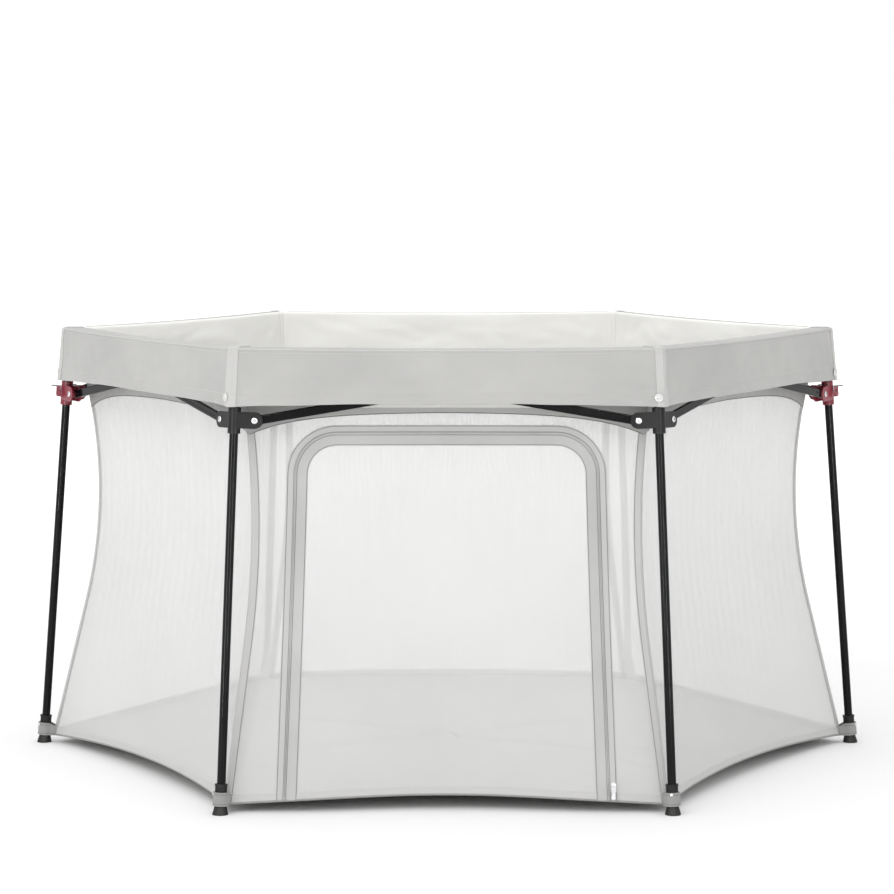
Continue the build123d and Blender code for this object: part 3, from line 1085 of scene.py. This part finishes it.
def floorGrid(i):
    out, along = sideAxes(i)
    edge = floorShape["corner"] * flat

    def place(s, t):
        share = 2 * s - 1
        reach = floorShape["middle"] + t * (edge - floorShape["middle"])
        across = share * reach * tan(pi / 6)
        slack = 1 - share**2
        nearEdge = max(0, 1 - (edge - reach) / 0.14) ** 2
        pulled = wallShape["bowLow"] if i != yardSize["doorSide"] else 0.0
        bow = pulled * slack * nearEdge
        if i == yardSize["doorSide"]:
            bow = doorShape["bow"] * max(0, 1 - (across / doorShape["bowZone"]) ** 2) ** 2 * nearEdge
        rise = wallShape["hemRise"] * slack * nearEdge
        loose = min(1, slack * 5)
        crumple = floorShape["crease"] * wave(across * 6, reach * 8, i * 4.4) * loose * (1 - nearEdge)
        spine = across - 0.012 * sin(reach * 9 + i)
        fork = abs(across) - max(0, reach - 0.27) * 0.55
        offCrease = min(abs(spine) + max(0, reach - 0.27) * 4, abs(fork))
        fold = floorShape["fold"] * exp(-(offCrease**2) / 0.00006)
        fold *= (1 - nearEdge) * loose
        height = floorShape["top"] + rise + crumple + fold
        return out * (reach - bow) + along * across + up * height, (across + i * 0.7, reach)

    mesh = shapedGrid(floorShape["columns"], floorShape["rows"], place)
    bmesh.ops.reverse_faces(mesh, faces=mesh.faces[:])
    return mesh


for i, side in enumerate(sideNames):
    cloth = makePiece("floor_cloth_" + side, [floorGrid(i)], "floor", floorShape["thickness"])
    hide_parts("floor_" + side)
    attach(cloth, "floor_" + side)
    gatherCloth(cloth)
print("floor made")

# webbing loops at the feet

loopShape = {
    "low": 0.0128,
    "high": 0.0330,
    "radius": 0.0118,
    "thickness": 0.0017,
    "openAngle": radians(52),  # either side of the inward direction
    "tailEnd": 0.030,
    "tailGap": 0.0022,
    "tailHigh": 0.0235,
}


def legPoint(i, outward, sideways, along):
    out = spoke(60 * i)
    level = out * cos(yardSize["splay"]) + up * sin(yardSize["splay"])
    rising = up * cos(yardSize["splay"]) - out * sin(yardSize["splay"])
    return out * yardSize["footRadius"] + level * outward + up.cross(out) * sideways + rising * along


def loopGrid(i):
    shape = loopShape
    start = pi - shape["openAngle"]

    def place(s, t):
        turn = max(-1, min(1, (2 * s - 1) / 0.56))
        angle = turn * start
        x, y = shape["radius"] * cos(angle), shape["radius"] * sin(angle)
        tail = max(0, (abs(2 * s - 1) - 0.56) / 0.44)
        hand = 1 if turn > 0 else -1
        x += tail * (-shape["tailEnd"] - x)
        y += tail * (hand * shape["tailGap"] - y)
        high = shape["high"] + tail * (shape["tailHigh"] - shape["high"])
        height = shape["low"] + t * (high - shape["low"])
        return legPoint(i, x, y, height), (s * 0.105, t * (high - shape["low"]))

    return shapedGrid(44, 5, place)


studShape = {
    "profile": [(0, 0), (0.0022, 0), (0.0023, 0.0006), (0.0016, 0.0013), (0, 0.0015)],
    "angle": radians(-38),
    "height": 0.0300,
}

for i, corner in enumerate(cornerNames):
    loop = makePiece("foot_loop_" + corner, [loopGrid(i)], "webbing", loopShape["thickness"])
    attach(loop, "leg_" + corner)
    angle = studShape["angle"] if i in (0, 4, 5) else -studShape["angle"]
    reach = loopShape["radius"]
    seat = legPoint(i, reach * cos(angle), reach * sin(angle), studShape["height"])
    facing = (seat - legPoint(i, 0, 0, studShape["height"])).normalized()
    studMesh = placed(turned(studShape["profile"], 16), seat, facing)
    stud = makePiece("loop_stud_" + corner, [studMesh], "screw")
    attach(stud, "leg_" + corner)
print("foot loops made")

# bright rivet heads on the sliders

rivetShape = {
    "seat": 0.00905,  # from the legs' plane
    "profile": [(0, 0), (0.0046, 0), (0.0048, 0.0005), (0.0042, 0.0013), (0.0030, 0.0017), (0.0021, 0.0017),
                (0.0019, 0.0008), (0, 0.0008)],
    "socket": (0.0018, 0.0022),
}
sliderAlong = (yardSize["sliderHeight"] / cos(tilt) + yardSize["pivotReach"] * sin(lean)) / cos(lean)


def pivotPoint(i, end, distance):
    # the slider's pivot on side i, at its start (-1) or end (1), this far outside the legs' plane
    out, along = sideAxes(i)
    rising = out * -sin(tilt) + up * cos(tilt)
    across = yardSize["footRadius"] / 2 - sliderAlong * sin(lean) - yardSize["pivotReach"] * cos(lean)
    height = sliderAlong * cos(lean) - yardSize["pivotReach"] * sin(lean)
    facing = along.cross(rising)
    middle = out * (yardSize["footRadius"] * flat) + rising * height
    return middle + along * (end * across) + facing * distance, facing


def rivetHead():
    mesh = turned(rivetShape["profile"], 24)
    low, high = rivetShape["socket"]
    for vert in mesh.verts:
        radius = vert.co.xy.length
        if low < radius < high and vert.co.z > 0:
            angle = vert.co.xy.angle_signed(Vector((1, 0))) % (pi / 3)
            hexed = cos(pi / 6) / cos(angle - pi / 6)
            vert.co.xy *= hexed
    return mesh


for i, corner in enumerate(cornerNames):
    heads = []
    for side, end in ((i, -1), ((i - 1) % 6, 1)):
        for hand in (-1, 1):
            point, facing = pivotPoint(side, end, hand * rivetShape["seat"])
            heads.append(placed(rivetHead(), point, facing * hand))
    caps = makePiece("slider_rivets_" + corner, heads, "screw")
    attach(caps, "slider_" + corner)
print("rivet heads made")

# studio

studio = {
    "floorColour": (0.86, 0.86, 0.86),
    "farGlow": 0.4,  # the backdrop's own light, so that it stays white far from the lamps
    "glowReach": (1.1, 4.5),
    "stageRadius": 60,
    "world": 1.0,
    "cameraPlace": (0.0086, -5.139, 0.966),
    "cameraDown": 5.3,
    "cameraTurn": 0.10,
    "cameraRoll": 0.0,
    "lens": 126.8,
}


backdrop, tree, shader = startMaterial("pale_backdrop", {"Roughness": 0.9, "Specular IOR Level": 0.1})
place = put(tree, "TexCoord").outputs["Object"]
cloud = useGroup(tree, "grain", {"Vector": place, "Patch Scale": 0.8, "Grain Scale": 40.0})
pale = studio["floorColour"]
tree.links.new(mixed(tree, cloud["Patch"], pale, [c * 0.995 for c in pale]), shader.inputs["Base Color"])
away = put(tree, "VectorMath", {0: place}, operation="LENGTH").outputs["Value"]
glow = ranged(tree, away, 0, studio["farGlow"], *studio["glowReach"])
tree.links.new(mixed(tree, glow, (0, 0, 0), (1, 1, 1)), shader.inputs["Emission Color"])
shader.inputs["Emission Strength"].default_value = 1.0
materials["backdrop"] = backdrop
stageMesh = bmesh.new()
bmesh.ops.create_circle(stageMesh, cap_ends=True, radius=studio["stageRadius"], segments=64)
stage = makePiece("stage", [stageMesh], "backdrop")

world = bpy.data.worlds.new("soft_white")
world.use_nodes = True
world.node_tree.nodes["Background"].inputs["Color"].default_value = (1, 1, 1, 1)
world.node_tree.nodes["Background"].inputs["Strength"].default_value = studio["world"]
bpy.context.scene.world = world

softBoxes = {
    "key": {"at": (-1.6, -3.2, 3.4), "size": (2.6, 1.8), "power": 40},
    "rightStrip": {"at": (2.6, -3.4, 1.0), "size": (0.22, 2.4), "power": 9},
    "leftStrip": {"at": (-2.9, -3.0, 1.0), "size": (0.30, 2.4), "power": 16},
    "overhead": {"at": (0.0, 0.8, 3.6), "size": (3.0, 3.0), "power": 26},
    # thin bright strips that only show as lines on the paint
    "barLine": {"at": (0.0, -3.4, 2.6), "size": (4.0, 0.12), "power": 170, "glossOnly": True},
    "rightLine": {"at": (1.9, -4.2, 1.0), "size": (0.07, 2.4), "power": 75, "glossOnly": True},
    "leftLine": {"at": (-2.4, -3.8, 1.0), "size": (0.07, 2.4), "power": 75, "glossOnly": True},
}
for name, box in softBoxes.items():
    lamp = bpy.data.lights.new(name, "AREA")
    lamp.shape = "RECTANGLE"
    lamp.size, lamp.size_y = box["size"]
    lamp.energy = box["power"]
    light = bpy.data.objects.new(name, lamp)
    light.location = box["at"]
    light.visible_diffuse = not box.get("glossOnly", False)
    light.rotation_euler = (Vector((0, 0, 0.35)) - light.location).to_track_quat("-Z", "Y").to_euler()
    bpy.context.scene.collection.objects.link(light)

camera = bpy.data.objects.new("camera", bpy.data.cameras.new("camera"))
camera.data.sensor_width = 36
camera.data.lens = studio["lens"]
camera.data.clip_end = 100
camera.location = studio["cameraPlace"]
camera.rotation_euler = [radians(studio[name]) for name in ("cameraDown", "cameraRoll", "cameraTurn")]
camera.rotation_euler.x = pi / 2 - camera.rotation_euler.x
bpy.context.scene.collection.objects.link(camera)
bpy.context.scene.camera = camera
bpy.context.scene.view_settings.view_transform = "Standard"
print("studio set")
